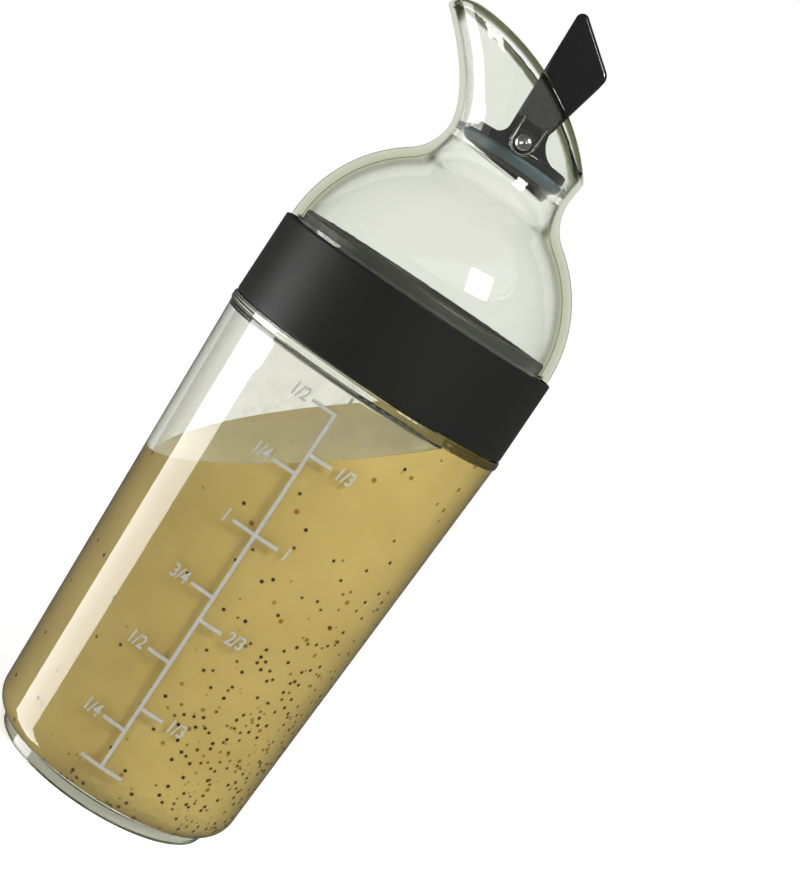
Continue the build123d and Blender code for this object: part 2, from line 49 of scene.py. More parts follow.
# Places read once from the CAD parts
DRESSING_FOOT_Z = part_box("dressing")[0].z
PIN_Z = sum(corner.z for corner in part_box("pivot_pin")) / 2

# Spout: its neck's height, and points of its slanted rim seen from the side
NECK_Z = PIN_Z - 4.8 * MM
RIM_POINTS = (
    (17.4 * MM, NECK_Z + 5.2 * MM),
    (2.0 * MM, NECK_Z + 17.5 * MM),
    (-25.0 * MM, NECK_Z + 25.6 * MM),
)
RIM_TIP = (-34.0 * MM, NECK_Z + 22.1 * MM)

# Where the lid's clear wall gets a painted olive shade, for light run along the wall: along the rim, above
# the neck, and round the tip
RIM_BAND = 1.9 * MM  # how far below the rim it does
RIM_CORE = 0.7  # share of that band in which it does so fully
RIM_FROM_Z = NECK_Z + 3 * MM
RIM_FULL_Z = NECK_Z + 5 * MM
TIP_REACH = 6.5 * MM
TIP_CORE = 0.8

# Heights between which the bottle's thick foot gets a painted grey shade
FOOT_FROM_Z = 3.4 * MM
FOOT_FULL_Z = 2.6 * MM

# Clear walls: Facing values between which a painted shade darkens them, and for the lid's painted bright
# edge
GRAZING_FROM = 0.5
GRAZING_FULL = 0.9
EDGE_FROM = 0.52
EDGE_FULL = 0.62
OUTLINE_FROM = 0.88  # where the painted bright edge starts to end in a painted dark outline

# Bead on each of the pivot's ears
BEAD_BEND = 2.9 * MM  # radius of the U round the pin's head
BEAD_RISE = 5.6 * MM  # length of the ribs
BEAD_THIN = 0.25 * MM  # radius of the bead under the pin
BEAD_THICK = 0.5 * MM  # and where the ribs start
BEAD_TAPER = 0.6  # power by which the ribs thin towards their tips
BEAD_TIP = 0.98  # share of a rib's length at which its tip is cut off
BEAD_STEPS = 48
BEAD_SIDES = 10

# Camera, at the photograph's place and roll, with its angles in radians
CAMERA_PLACE = Vector((0, -447.9 * MM, 151.8 * MM))
CAMERA_PAN = 0.0335
CAMERA_TILT = -0.0971
CAMERA_ROLL = 0.5906
CAMERA_LENS = 76.75
SENSOR_WIDTH = 36

# Bottle and dressing
BASE_R = 32.4 * MM  # outer radius of the tapered wall, carried down to the table
TOP_R = 37.4 * MM  # outer radius of the wall at the shoulder
SHOULDER_Z = 117.2 * MM
WALL = 2.2 * MM
NECK_R = 30.8 * MM  # inside the neck
NECK_FOOT_Z = 115.0 * MM  # where the inside steps in under the neck
CORNER_R = 3.8 * MM  # rounding of the dressing's bottom corner
WETTED = 0.25 * MM  # how far the dressing is set into the wall, so that no air shows between them
STEP_Z = NECK_FOOT_Z + WETTED
LEVEL_Z = 100.2 * MM  # height of the dressing's surface on the axis
LEVEL_RISE_X = 0.77  # slope of the surface towards the lever's side
LEVEL_RISE_Y = 0.13  # and towards the rear
MENISCUS = 1.1 * MM  # how far the surface climbs the wall
MENISCUS_REACH = 1.4 * MM  # how far from the wall the climb fades
CREAM_FROM_R = 30.5 * MM  # radius at which the surface turns creamy
CREAM_FULL_R = 33.0 * MM
EDGE_ROUNDS = 12  # rounds of working out where the sloping surface meets the slanting wall
TURN_STEPS = 192
WALL_ROWS = 60
NECK_ROWS = 6
FOOT_CROWDING = 1.6  # how much closer together the rows stand at the rounded foot
SURFACE_RINGS = 24
SAME_POINT = 0.001 * MM  # points nearer than this are joined
CREASE = math.radians(40)  # a bend sharper than this stays crisp

# Film that the shaken dressing left on the wall above its surface
FILM_HEIGHT = 14 * MM  # how high the patches reach; a haze of film and painted shade runs on to the top
FILM_TOP_Z = 114.5 * MM
FILM_ROWS = 16
FILM_PROUD = 0.15 * MM  # more than the wall's flat facets sag
FILM_AND_SHADE_HAZE = 0.14  # cover of the haze, which is partly film and partly painted shade greying the space over the dressing
FILM_PATCH = 0.3  # cover that a patch adds
PATCH_FROM = 0.42  # noise values between which a patch starts and is full
PATCH_FULL = 0.72
PATCH_DRAW = 0.8  # less than 1, so that the patches are drawn out down the wall

# Seeds: cell size, radius as a share of it, colour, share of cells that crowding adds, share everywhere
SEEDS = (
    (3.4 * MM, 0.24, "#83601F", 0.35, 0.05),
    (1.8 * MM, 0.35, "#2A2016", 0.85, 0.02),
)

# Where the seeds crowd, as X and then Z values between which they rise from few to most
SEED_SLOPE = ((-3 * MM, 20 * MM), (92 * MM, 24 * MM))  # down the lever's side
SEED_FLOOR = ((-26 * MM, -4 * MM), (12 * MM, 6 * MM))  # sunk over the floor
SEED_HAZE = 0.4  # cover of the haze over the floor

# Printed numbers
FIGURE_HEIGHT = 3.3 * MM
FIGURE_NARROW = 0.78  # width as a share of the font's own
FIGURE_GAP = 1.2 * MM  # from a tick's end to its figure
FIGURE_SHEAR = 0.12  # slant
FIGURE_WEIGHT = 0.09 * MM  # added round each stroke
CAPITAL_SHARE = 0.72  # height of a digit as a share of the font's size
PRINT_PROUD = 0.05 * MM
CUP_VOLUME = 236588.0  # cubic millimetres
OUNCE_VOLUME = 29574.0
SCALE_ZERO = 2.3  # millimetres, level of an empty bottle
SCALE_X = -1.3 * MM  # the cup scale's upright, across the wall
TICK = 6.0 * MM  # from the upright to the end of a numbered tick
QUARTER_FIGURES = {1 / 4: "1/4", 1 / 2: "1/2", 3 / 4: "3/4", 1: "1", 5 / 4: "1/4", 3 / 2: "1/2"}
THIRD_FIGURES = {1 / 3: "1/3", 2 / 3: "2/3", 1: "1", 4 / 3: "1/3"}
OUNCE_FIGURES = (2, 4, 6, 8, 10, 12)

# Studio: how bright the surround is beside the white that the camera sees straight on
SURROUND_MATT = 0.56  # to matt surfaces
SURROUND_GLOSSY = 0.12  # in reflections
SURROUND_INSIDE = 0.28  # to light that was reflected inside a clear wall
SURROUND_CEILING = 0.5  # overhead, through clear walls
CEILING_FROM = 0.3  # upward share of a direction where the ceiling begins
CEILING_FULL = 0.65
FLOOR_REACH = 4.0  # metres from the middle to a side
FLOOR_GLOW = 0.55

# Lights: place, the point that they face and size in metres, and how bright their face is
STRIP_PLACE = (-0.62, -0.02, -0.32)
STRIP_TARGET = (0, 0, -0.32)
STRIP_SIZE = (0.32, 0.88)
STRIP_RADIANCE = 8.5
WINDOW_PLACE = (0.35, -0.5, 0.55)
WINDOW_TARGET = (0, 0, 0.1)
WINDOW_SIZE = (0.22, 0.22)
WINDOW_RADIANCE = 24.0


def linear(code):
    """Linear colour of an sRGB hex code."""
    parts = [int(code[place : place + 2], 16) / 255 for place in (1, 3, 5)]
    return [p / 12.92 if p <= 0.04045 else ((p + 0.055) / 1.055) ** 2.4 for p in parts] + [1]


def add_node(owner, kind, inputs=None, **settings):
    """Adds a shader node to a material or world with its settings, and sets or links its inputs.

    Inputs that share a name with others go by number. A Mix node's share is 0, its two numbers are 2 and 3
    and come out as 0, and its two colours are 6 and 7 and come out as 2.
    """
    node = owner.node_tree.nodes.new(kind)
    for name, value in settings.items():
        setattr(node, name, value)
    for name, value in (inputs or {}).items():
        if isinstance(value, bpy.types.NodeSocket):
            owner.node_tree.links.new(value, node.inputs[name])
        else:
            node.inputs[name].default_value = value
    return node


def new_material(name):
    """An empty node material, and the place on the object in the object's own metres."""
    material = bpy.data.materials.new(name)
    material.use_nodes = True
    material.node_tree.nodes.clear()
    return material, add_node(material, "ShaderNodeTexCoord").outputs["Object"]


def circle_through(first, second, third):
    """Centre and radius of the circle through three points of a plane."""
    (ax, ay), (bx, by), (cx, cy) = first, second, third
    turn = 2 * (ax * (by - cy) + bx * (cy - ay) + cx * (ay - by))
    a, b, c = ax**2 + ay**2, bx**2 + by**2, cx**2 + cy**2
    x = (a * (by - cy) + b * (cy - ay) + c * (ay - by)) / turn
    y = (a * (cx - bx) + b * (ax - cx) + c * (bx - ax)) / turn
    return x, y, math.hypot(ax - x, ay - y)


def distance_from(material, place, x, z):
    """Distance from a point of the shaker's plane of symmetry, seen from the side."""
    flat = add_node(
        material, "ShaderNodeVectorMath", {0: place, 1: (1.0, 0.0, 1.0)}, operation="MULTIPLY"
    )
    away = add_node(
        material,
        "ShaderNodeVectorMath",
        {0: flat.outputs["Vector"], 1: (x, 0.0, z)},
        operation="DISTANCE",
    )
    return away.outputs["Value"]


def rim_share(material, place):
    """Share of painted olive shade on the lid's wall: along the spout's slanted rim and round its tip."""
    centre_x, centre_z, radius = circle_through(*RIM_POINTS)
    out = distance_from(material, place, centre_x, centre_z)
    beyond = add_node(material, "ShaderNodeMath", {0: out, 1: radius}, operation="SUBTRACT")
    from_rim = add_node(
        material, "ShaderNodeMath", {0: beyond.outputs["Value"]}, operation="ABSOLUTE"
    )
    band = add_node(
        material,
        "ShaderNodeMapRange",
        {
            "Value": from_rim.outputs["Value"],
            "From Min": RIM_BAND,
            "From Max": RIM_BAND * RIM_CORE,
        },
    )
    apart = add_node(material, "ShaderNodeSeparateXYZ", {"Vector": place})
    high = add_node(
        material,
        "ShaderNodeMapRange",
        {"Value": apart.outputs["Z"], "From Min": RIM_FROM_Z, "From Max": RIM_FULL_Z},
    )
    rim = add_node(
        material,
        "ShaderNodeMath",
        {0: band.outputs["Result"], 1: high.outputs["Result"]},
        operation="MULTIPLY",
    )
    tip = add_node(
        material,
        "ShaderNodeMapRange",
        {
            "Value": distance_from(material, place, *RIM_TIP),
            "From Min": TIP_REACH,
            "From Max": TIP_REACH * TIP_CORE,
        },
    )
    share = add_node(
        material,
        "ShaderNodeMath",
        {0: rim.outputs["Value"], 1: tip.outputs["Result"]},
        operation="MAXIMUM",
    )
    return share.outputs["Value"]


def foot_share(material, place):
    """Share of painted grey shade on the bottle's thick foot."""
    apart = add_node(material, "ShaderNodeSeparateXYZ", {"Vector": place})
    share = add_node(
        material,
        "ShaderNodeMapRange",
        {"Value": apart.outputs["Z"], "From Min": FOOT_FROM_Z, "From Max": FOOT_FULL_Z},
    )
    return share.outputs["Result"]


def clear_copolyester(name, tint, edge, painted_edge_share, painted_band_shade, painted_band_share):
    """Injection-moulded copolyester: clear face on, with painted olive shade where light would run along the
    wall, and a painted bright edge.
    """
    material, place = new_material(name)
    facing = add_node(material, "ShaderNodeLayerWeight", {"Blend": 0.5})
    grazing = add_node(
        material,
        "ShaderNodeMapRange",
        {
            "Value": facing.outputs["Facing"],
            "From Min": GRAZING_FROM,
            "From Max": GRAZING_FULL,
        },
    )
    # painted shade: the wall's colour darkens towards olive at grazing angles
    colour = add_node(
        material,
        "ShaderNodeMix",
        {0: grazing.outputs["Result"], 6: linear(tint), 7: linear(edge)},
        data_type="RGBA",
    )
    # painted shade: a darker band along the lid's rim and round the bottle's foot
    colour = add_node(
        material,
        "ShaderNodeMix",
        {0: painted_band_share(material, place), 6: colour.outputs[2], 7: linear(painted_band_shade)},
        data_type="RGBA",
    )
    wave = add_node(
        material,
        "ShaderNodeTexNoise",
        {"Vector": place, "Scale": 1 / (22 * MM), "Detail": 1.0},
    )
    bump = add_node(
        material,
        "ShaderNodeBump",
        {"Height": wave.outputs["Fac"], "Distance": 0.03 * MM, "Strength": 0.35},
    )
    clear = add_node(
        material,
        "ShaderNodeBsdfPrincipled",
        {
            "Base Color": colour.outputs[2],
            "Roughness": 0.015,
            "IOR": 1.5,
            "Transmission Weight": 1.0,
            "Normal": bump.outputs["Normal"],
        },
    )
    # seen edge on, a wall turns see-through in a pale tone, a painted reflection of the backdrop behind it,
    # down to a painted dark outline
    steep = add_node(
        material,
        "ShaderNodeMapRange",
        {
            "Value": facing.outputs["Facing"],
            "From Min": EDGE_FROM,
            "From Max": EDGE_FULL,
            "To Max": painted_edge_share,
        },
    )
    outline = add_node(
        material,
        "ShaderNodeMapRange",
        {"Value": facing.outputs["Facing"], "From Min": OUTLINE_FROM, "From Max": 1.0},
    )
    painted_edge_tone = add_node(
        material,
        "ShaderNodeMix",
        {0: outline.outputs["Result"], 6: linear("#F1F2EC"), 7: linear("#6F735C")},
        data_type="RGBA",
    )
    backdrop = add_node(
        material, "ShaderNodeBsdfTransparent", {"Color": painted_edge_tone.outputs[2]}
    )
    # only straight from the eye, so that a path that was bent on its way in is bent on its way out
    path = add_node(material, "ShaderNodeLightPath")
    straight = add_node(
        material,
        "ShaderNodeMath",
        {0: steep.outputs["Result"], 1: path.outputs["Is Camera Ray"]},
        operation="MULTIPLY",
    )
    wall = add_node(
        material,
        "ShaderNodeMixShader",
        {0: straight.outputs["Value"], 1: clear.outputs["BSDF"], 2: backdrop.outputs["BSDF"]},
    )
    # shadow rays pass straight through, so that what stands behind the wall is lit
    passing = add_node(material, "ShaderNodeBsdfTransparent", {"Color": linear(tint)})
    surface = add_node(
        material,
        "ShaderNodeMixShader",
        {0: path.outputs["Is Shadow Ray"], 1: wall.outputs["Shader"], 2: passing.outputs["BSDF"]},
    )
    inside = add_node(
        material, "ShaderNodeVolumeAbsorption", {"Color": linear("#BCC489"), "Density": 27.0}
    )
    add_node(
        material,
        "ShaderNodeOutputMaterial",
        {"Surface": surface.outputs["Shader"], "Volume": inside.outputs["Volume"]},
    )
    return material


def seed_crowding(material, seed_place):
    """Shares by which seeds crowd at a place: down the lever's side, and sunk over the floor."""
    apart = add_node(material, "ShaderNodeSeparateXYZ", {"Vector": seed_place})
    shares = []
    for (few_x, most_x), (few_z, most_z) in (SEED_SLOPE, SEED_FLOOR):
        side = add_node(
            material,
            "ShaderNodeMapRange",
            {"Value": apart.outputs["X"], "From Min": few_x, "From Max": most_x},
        )
        low = add_node(
            material,
            "ShaderNodeMapRange",
            {"Value": apart.outputs["Z"], "From Min": few_z, "From Max": most_z},
        )
        both = add_node(
            material,
            "ShaderNodeMath",
            {0: side.outputs["Result"], 1: low.outputs["Result"]},
            operation="MULTIPLY",
        )
        shares.append(both.outputs["Value"])
    return shares


def seed_spots(material, place, cell, widest, most, few):
    """Share of the colour of one size of seed, and the share by which that size is sunk over the floor."""
    cells = add_node(
        material, "ShaderNodeTexVoronoi", {"Vector": place, "Scale": 1 / cell}, feature="F1"
    )
    slope, sunk = seed_crowding(material, cells.outputs["Position"])
    crowd = add_node(material, "ShaderNodeMath", {0: slope, 1: sunk}, operation="MAXIMUM")
    share = add_node(
        material,
        "ShaderNodeMath",
        {0: crowd.outputs["Value"], 1: most, 2: few},
        operation="MULTIPLY_ADD",
    )
    # each cell draws a number from its own colour, and holds a seed where the number is low enough
    chance = add_node(material, "ShaderNodeSeparateColor", {"Color": cells.outputs["Color"]})
    held = add_node(
        material,
        "ShaderNodeMath",
        {0: chance.outputs["Red"], 1: share.outputs["Value"]},
        operation="LESS_THAN",
    )
    seed = add_node(
        material,
        "ShaderNodeMapRange",
        {"Value": cells.outputs["Distance"], "From Min": widest, "From Max": widest / 2},
    )
    spot = add_node(
        material,
        "ShaderNodeMath",
        {0: held.outputs["Value"], 1: seed.outputs["Result"]},
        operation="MULTIPLY",
    )
    return spot.outputs["Value"], sunk


def mustard_dressing():
    """Emulsified mustard dressing: creamy and mottled, with dark seeds that sank to the lever's side."""
    material, place = new_material("mustard_dressing")
    mottle = add_node(
        material,
        "ShaderNodeTexNoise",
        {"Vector": place, "Scale": 1 / (16 * MM), "Detail": 4.0},
    )
    colour = add_node(
        material,
        "ShaderNodeMix",
        {0: mottle.outputs["Fac"], 6: linear("#A69054"), 7: linear("#BBA76B")},
        data_type="RGBA",
    )
    for cell, widest, dark, most, few in SEEDS:
        spot, sunk = seed_spots(material, place, cell, widest, most, few)
        colour = add_node(
            material,
            "ShaderNodeMix",
            {0: spot, 6: colour.outputs[2], 7: linear(dark)},
            data_type="RGBA",
        )
    # seeds that lie deeper show only as a dark haze, in the cells of the last and finest size
    haze = add_node(material, "ShaderNodeMath", {0: sunk, 1: SEED_HAZE}, operation="MULTIPLY")
    colour = add_node(
        material,
        "ShaderNodeMix",
        {0: haze.outputs["Value"], 6: colour.outputs[2], 7: linear("#5D5340")},
        data_type="RGBA",
    )
    body = add_node(
        material,
        "ShaderNodeBsdfPrincipled",
        {
            "Base Color": colour.outputs[2],
            "Roughness": 0.4,
            "IOR": 1.4,
            "Specular IOR Level": 0.08,
            "Subsurface Weight": 0.15,
            "Subsurface Radius": (1.0, 0.7, 0.3),
            "Subsurface Scale": 1.5 * MM,
        },
    )
    add_node(material, "ShaderNodeOutputMaterial", {"Surface": body.outputs["BSDF"]})
    return material


def oily_surface():
    """The dressing's top surface: painted greyer than the dressing as painted shade and reflection, wet and
    slightly rippled.
    """
    material, place = new_material("oily_surface")
    ripple = add_node(
        material,
        "ShaderNodeTexNoise",
        {"Vector": place, "Scale": 1 / (9 * MM), "Detail": 3.0, "Distortion": 0.6},
    )
    # painted shade: grey tones that stand in for the surface's shading and the grey surround it reflects
    colour = add_node(
        material,
        "ShaderNodeMix",
        {0: ripple.outputs["Fac"], 6: linear("#8B866F"), 7: linear("#A5A08A")},
        data_type="RGBA",
    )
    # a line of cream is left where the surface climbs the wall
    flat = add_node(
        material, "ShaderNodeVectorMath", {0: place, 1: (1.0, 1.0, 0.0)}, operation="MULTIPLY"
    )
    out = add_node(
        material, "ShaderNodeVectorMath", {0: flat.outputs["Vector"]}, operation="LENGTH"
    )
    climbing = add_node(
        material,
        "ShaderNodeMapRange",
        {"Value": out.outputs["Value"], "From Min": CREAM_FROM_R, "From Max": CREAM_FULL_R},
    )
    colour = add_node(
        material,
        "ShaderNodeMix",
        {0: climbing.outputs["Result"], 6: colour.outputs[2], 7: linear("#CDC39A")},
        data_type="RGBA",
    )
    bump = add_node(
        material,
        "ShaderNodeBump",
        {"Height": ripple.outputs["Fac"], "Distance": 0.3 * MM, "Strength": 0.4},
    )
    wet = add_node(
        material,
        "ShaderNodeBsdfPrincipled",
        {
            "Base Color": colour.outputs[2],
            "Roughness": 0.14,
            "IOR": 1.46,
            "Normal": bump.outputs["Normal"],
        },
    )
    add_node(material, "ShaderNodeOutputMaterial", {"Surface": wet.outputs["BSDF"]})
    return material


def clinging_film():
    """Thin film of dressing that runs back down the wall: patchy, and thinner the higher it clings, over a
    grey haze that is partly painted shade.
    """
    material, place = new_material("clinging_film")
    over = add_node(
        material,
        "ShaderNodeVectorMath",
        {0: place, 1: (-LEVEL_RISE_X, -LEVEL_RISE_Y, 1.0)},
        operation="DOT_PRODUCT",
    )
    fade = add_node(
        material,
        "ShaderNodeMapRange",
        {
            "Value": over.outputs["Value"],
            "From Min": LEVEL_Z + MENISCUS,
            "From Max": LEVEL_Z + FILM_HEIGHT,
            "To Min": 1.0,
            "To Max": 0.0,
        },
    )
    drawn = add_node(
        material, "ShaderNodeMapping", {"Vector": place, "Scale": (1.0, 1.0, PATCH_DRAW)}
    )
    patches = add_node(
        material,
        "ShaderNodeTexNoise",
        {"Vector": drawn.outputs["Vector"], "Scale": 1 / (5 * MM), "Detail": 5.0},
    )
    patch = add_node(
        material,
        "ShaderNodeMapRange",
        {
            "Value": patches.outputs["Fac"],
            "From Min": PATCH_FROM,
            "From Max": PATCH_FULL,
            "To Max": FILM_PATCH,
        },
    )
    # the haze is partly painted shade, laid over the whole wall above the dressing
    cover = add_node(
        material,
        "ShaderNodeMath",
        {0: fade.outputs["Result"], 1: patch.outputs["Result"], 2: FILM_AND_SHADE_HAZE},
        operation="MULTIPLY_ADD",
    )
    tone = add_node(
        material,
        "ShaderNodeMix",
        {0: fade.outputs["Result"], 6: linear("#8F8C7E"), 7: linear("#B2AC94")},
        data_type="RGBA",
    )
    cream = add_node(
        material,
        "ShaderNodeBsdfPrincipled",
        {"Base Color": tone.outputs[2], "Roughness": 0.3, "IOR": 1.4},
    )
    bare = add_node(material, "ShaderNodeBsdfTransparent")
    mixed = add_node(
        material,
        "ShaderNodeMixShader",
        {0: cover.outputs["Value"], 1: bare.outputs["BSDF"], 2: cream.outputs["BSDF"]},
    )
    add_node(material, "ShaderNodeOutputMaterial", {"Surface": mixed.outputs["Shader"]})
    return material


def overmoulded_elastomer():
    """Overmoulded thermoplastic elastomer: satin black with a fine spark-eroded grain."""
    material, place = new_material("overmoulded_elastomer")
    # a spark-eroded grain is nearer 0.1 mm, and is drawn coarser so that it shows
    grain = add_node(
        material,
        "ShaderNodeTexNoise",
        {"Vector": place, "Scale": 1 / (0.4 * MM), "Detail": 2.0},
    )
    bump = add_node(
        material,
        "ShaderNodeBump",
        {"Height": grain.outputs["Fac"], "Distance": 0.04 * MM, "Strength": 0.5},
    )
    patch = add_node(
        material,
        "ShaderNodeTexNoise",
        {"Vector": place, "Scale": 1 / (11 * MM), "Detail": 3.0},
    )
    rough = add_node(
        material,
        "ShaderNodeMapRange",
        {"Value": patch.outputs["Fac"], "To Min": 0.4, "To Max": 0.52},
    )
    satin = add_node(
        material,
        "ShaderNodeBsdfPrincipled",
        {
            "Base Color": linear("#1A1A18"),
            "Roughness": rough.outputs["Result"],
            "Specular IOR Level": 0.2,
            "Normal": bump.outputs["Normal"],
        },
    )
    add_node(material, "ShaderNodeOutputMaterial", {"Surface": satin.outputs["BSDF"]})
    return material


def moulded_silicone(name, colour, dark):
    """Compression-moulded silicone: soft sheen, a little cloudy."""
    material, place = new_material(name)
    cloud = add_node(
        material,
        "ShaderNodeTexNoise",
        {"Vector": place, "Scale": 1 / (5.5 * MM), "Detail": 3.0},
    )
    tone = add_node(
        material,
        "ShaderNodeMix",
        {0: cloud.outputs["Fac"], 6: linear(dark), 7: linear(colour)},
        data_type="RGBA",
    )
    bump = add_node(
        material,
        "ShaderNodeBump",
        {"Height": cloud.outputs["Fac"], "Distance": 0.02 * MM, "Strength": 0.4},
    )
    soft = add_node(
        material,
        "ShaderNodeBsdfPrincipled",
        {
            "Base Color": tone.outputs[2],
            "Roughness": 0.38,
            "IOR": 1.41,
            "Normal": bump.outputs["Normal"],
        },
    )
    add_node(material, "ShaderNodeOutputMaterial", {"Surface": soft.outputs["BSDF"]})
    return material


def polished_abs():
    """Polished moulded ABS: deep gloss black with the least trace of shrink waviness."""
    material, place = new_material("polished_abs")
    wave = add_node(
        material,
        "ShaderNodeTexNoise",
        {"Vector": place, "Scale": 1 / (8 * MM), "Detail": 1.0},
    )
    bump = add_node(
        material,
        "ShaderNodeBump",
        {"Height": wave.outputs["Fac"], "Distance": 0.02 * MM, "Strength": 0.5},
    )
    gloss = add_node(
        material,
        "ShaderNodeBsdfPrincipled",
        {
            "Base Color": linear("#141414"),
            "Roughness": 0.1,
            "IOR": 1.54,
            "Coat Weight": 0.3,
            "Normal": bump.outputs["Normal"],
        },
    )
    add_node(material, "ShaderNodeOutputMaterial", {"Surface": gloss.outputs["BSDF"]})
    return material


def turned_stainless():
    """Turned stainless steel: bright, with fine rings left round the head by the tool."""
    material, place = new_material("turned_stainless")
    apart = add_node(material, "ShaderNodeSeparateXYZ", {"Vector": place})
    pin_height = add_node(
        material,
        "ShaderNodeMath",
        {0: apart.outputs["Z"], 1: PIN_Z},
        operation="SUBTRACT",
    )
    across = add_node(
        material,
        "ShaderNodeCombineXYZ",
        {"X": apart.outputs["X"], "Y": pin_height.outputs["Value"]},
    )
    out = add_node(
        material, "ShaderNodeVectorMath", {0: across.outputs["Vector"]}, operation="LENGTH"
    )
    # the tool's feed is nearer 0.1 mm a turn, and its rings are drawn wider apart so that they show
    turns = add_node(
        material,
        "ShaderNodeMath",
        {0: out.outputs["Value"], 1: 2 * math.pi / (0.35 * MM)},
        operation="MULTIPLY",
    )
    rings = add_node(
        material, "ShaderNodeMath", {0: turns.outputs["Value"]}, operation="SINE"
    )
    bump = add_node(
        material,
        "ShaderNodeBump",
        {"Height": rings.outputs["Value"], "Distance": 0.02 * MM, "Strength": 0.6},
    )
    steel = add_node(
        material,
        "ShaderNodeBsdfPrincipled",
        {
            "Base Color": linear("#CFCEC9"),
            "Metallic": 1.0,
            "Roughness": 0.2,
            "Normal": bump.outputs["Normal"],
        },
    )
    add_node(material, "ShaderNodeOutputMaterial", {"Surface": steel.outputs["BSDF"]})
    return material


def screen_print():
    """Screen-printed ink: pale grey, thin, a little uneven in cover."""
    material, place = new_material("screen_print")
    cover = add_node(
        material,
        "ShaderNodeTexNoise",
        {"Vector": place, "Scale": 1 / (1.1 * MM), "Detail": 3.0},
    )
    tone = add_node(
        material,
        "ShaderNodeMix",
        {0: cover.outputs["Fac"], 6: linear("#8F9089"), 7: linear("#A9AAA3")},
        data_type="RGBA",
    )
    ink = add_node(
        material,
        "ShaderNodeBsdfPrincipled",
        {"Base Color": tone.outputs[2], "Roughness": 0.45},
    )
    add_node(material, "ShaderNodeOutputMaterial", {"Surface": ink.outputs["BSDF"]})
    return material


def studio_paper():
    """Pale studio paper that glows enough to read as white and still shows the shaker's shadow."""
    material, _ = new_material("studio_paper")
    paper = add_node(
        material,
        "ShaderNodeBsdfPrincipled",
        {
            "Base Color": linear("#F0F0EF"),
            "Roughness": 0.9,
            "Specular IOR Level": 0.0,
            "Emission Color": linear("#FFFFFF"),
            "Emission Strength": FLOOR_GLOW,
        },
    )
    add_node(material, "ShaderNodeOutputMaterial", {"Surface": paper.outputs["BSDF"]})
    return material


def wall_radius(z):
    """Outer radius of the bottle's tapered wall at height z."""
    return BASE_R + (TOP_R - BASE_R) * z / SHOULDER_Z


def volume_height(volume):
    """Height of a level that holds this volume, in cubic millimetres, in the tapered bottle."""
    slope = (TOP_R - BASE_R) / SHOULDER_Z
    zero_r = (wall_radius(SCALE_ZERO * MM) - WALL) / MM
    level_r = (zero_r**3 + 3 * slope * volume / math.pi) ** (1 / 3)
    return (SCALE_ZERO + (level_r - zero_r) / slope) * MM


def level_height(x, y):
    """Height of the dressing's surface over a point."""
    return LEVEL_Z + LEVEL_RISE_X * x + LEVEL_RISE_Y * y


def inside_radius(z):
    """Radius of the bottle's inside, a little into its wall, at height z."""
    open_r = wall_radius(z) - WALL + WETTED
    if z < DRESSING_FOOT_Z + CORNER_R:
        drop = DRESSING_FOOT_Z + CORNER_R - max(z, DRESSING_FOOT_Z)
        return open_r - CORNER_R + math.sqrt(max(CORNER_R**2 - drop**2, 0))
    if z > STEP_Z:
        return NECK_R + WETTED
    return open_r


def edge_height(turn):
    """Height at which the dressing meets the wall in this direction."""
    z = LEVEL_Z
    for _ in range(EDGE_ROUNDS):
        r = inside_radius(z)
        z = level_height(r * math.cos(turn), r * math.sin(turn))
    return z + MENISCUS


def new_piece(name, mesh, materials, body="bottle_body"):
    """A smooth piece made from a mesh, which rides on a body."""
    piece = bpy.data.objects.new(name, mesh)
    bpy.context.scene.collection.objects.link(piece)
    mesh.materials.clear()
    for material in materials:
        mesh.materials.append(material)
    for face in mesh.polygons:
        face.use_smooth = True
    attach(piece, body)
    return piece


def join_rings(build, lower, upper, kind=0):
    """Faces of one kind of material between two rings of the same count."""
    count = len(lower)
    for step in range(count):
        following = (step + 1) % count
        face = build.faces.new((lower[step], lower[following], upper[following], upper[step]))
        face.material_index = kind


def make_dressing_fill(body, surface):
    """The dressing as one closed mesh: wall, rounded foot, sloping surface and a meniscus round its edge."""
    build = bmesh.new()
    columns = []
    for step in range(TURN_STEPS):
        turn = 2 * math.pi * step / TURN_STEPS
        edge_z = edge_height(turn)
        wall_height = min(edge_z, STEP_Z) - DRESSING_FOOT_Z
        heights = [
            DRESSING_FOOT_Z + wall_height * (row / WALL_ROWS) ** FOOT_CROWDING
            for row in range(WALL_ROWS + 1)
        ]
        profile = [(inside_radius(z), z) for z in heights]
        # over the step inside the shoulder, or a repeat of the edge where the dressing stops below it
        wall_top = heights[-1]
        top_r = NECK_R + WETTED if edge_z > STEP_Z else inside_radius(wall_top)
        for row in range(NECK_ROWS + 1):
            profile.append((top_r, wall_top + (edge_z - wall_top) * row / NECK_ROWS))
        columns.append([(r * math.cos(turn), r * math.sin(turn), z) for r, z in profile])
    rings = [[build.verts.new(point) for point in ring] for ring in zip(*columns)]
    for lower, upper in zip(rings, rings[1:]):
        join_rings(build, lower, upper)
    build.faces.new(reversed(rings[0]))
    last = rings[-1]
    for ring_step in range(1, SURFACE_RINGS):
        share = 1 - ring_step / SURFACE_RINGS
        ring = []
        for vert in rings[-1]:
            x, y = vert.co.x * share, vert.co.y * share
            from_wall = (1 - share) * math.hypot(vert.co.x, vert.co.y)
            climb = MENISCUS * math.exp(-from_wall / MENISCUS_REACH)
            ring.append(build.verts.new((x, y, level_height(x, y) + climb)))
        join_rings(build, last, ring, kind=1)
        last = ring
    build.faces.new(last).material_index = 1
    bmesh.ops.remove_doubles(build, verts=build.verts, dist=SAME_POINT)
    bmesh.ops.recalc_face_normals(build, faces=build.faces)
    mesh = bpy.data.meshes.new("dressing_fill")
    build.to_mesh(mesh)
    build.free()
    fill = new_piece("dressing_fill", mesh, [body, surface])
    mesh.set_sharp_from_angle(angle=CREASE)
    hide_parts("dressing")


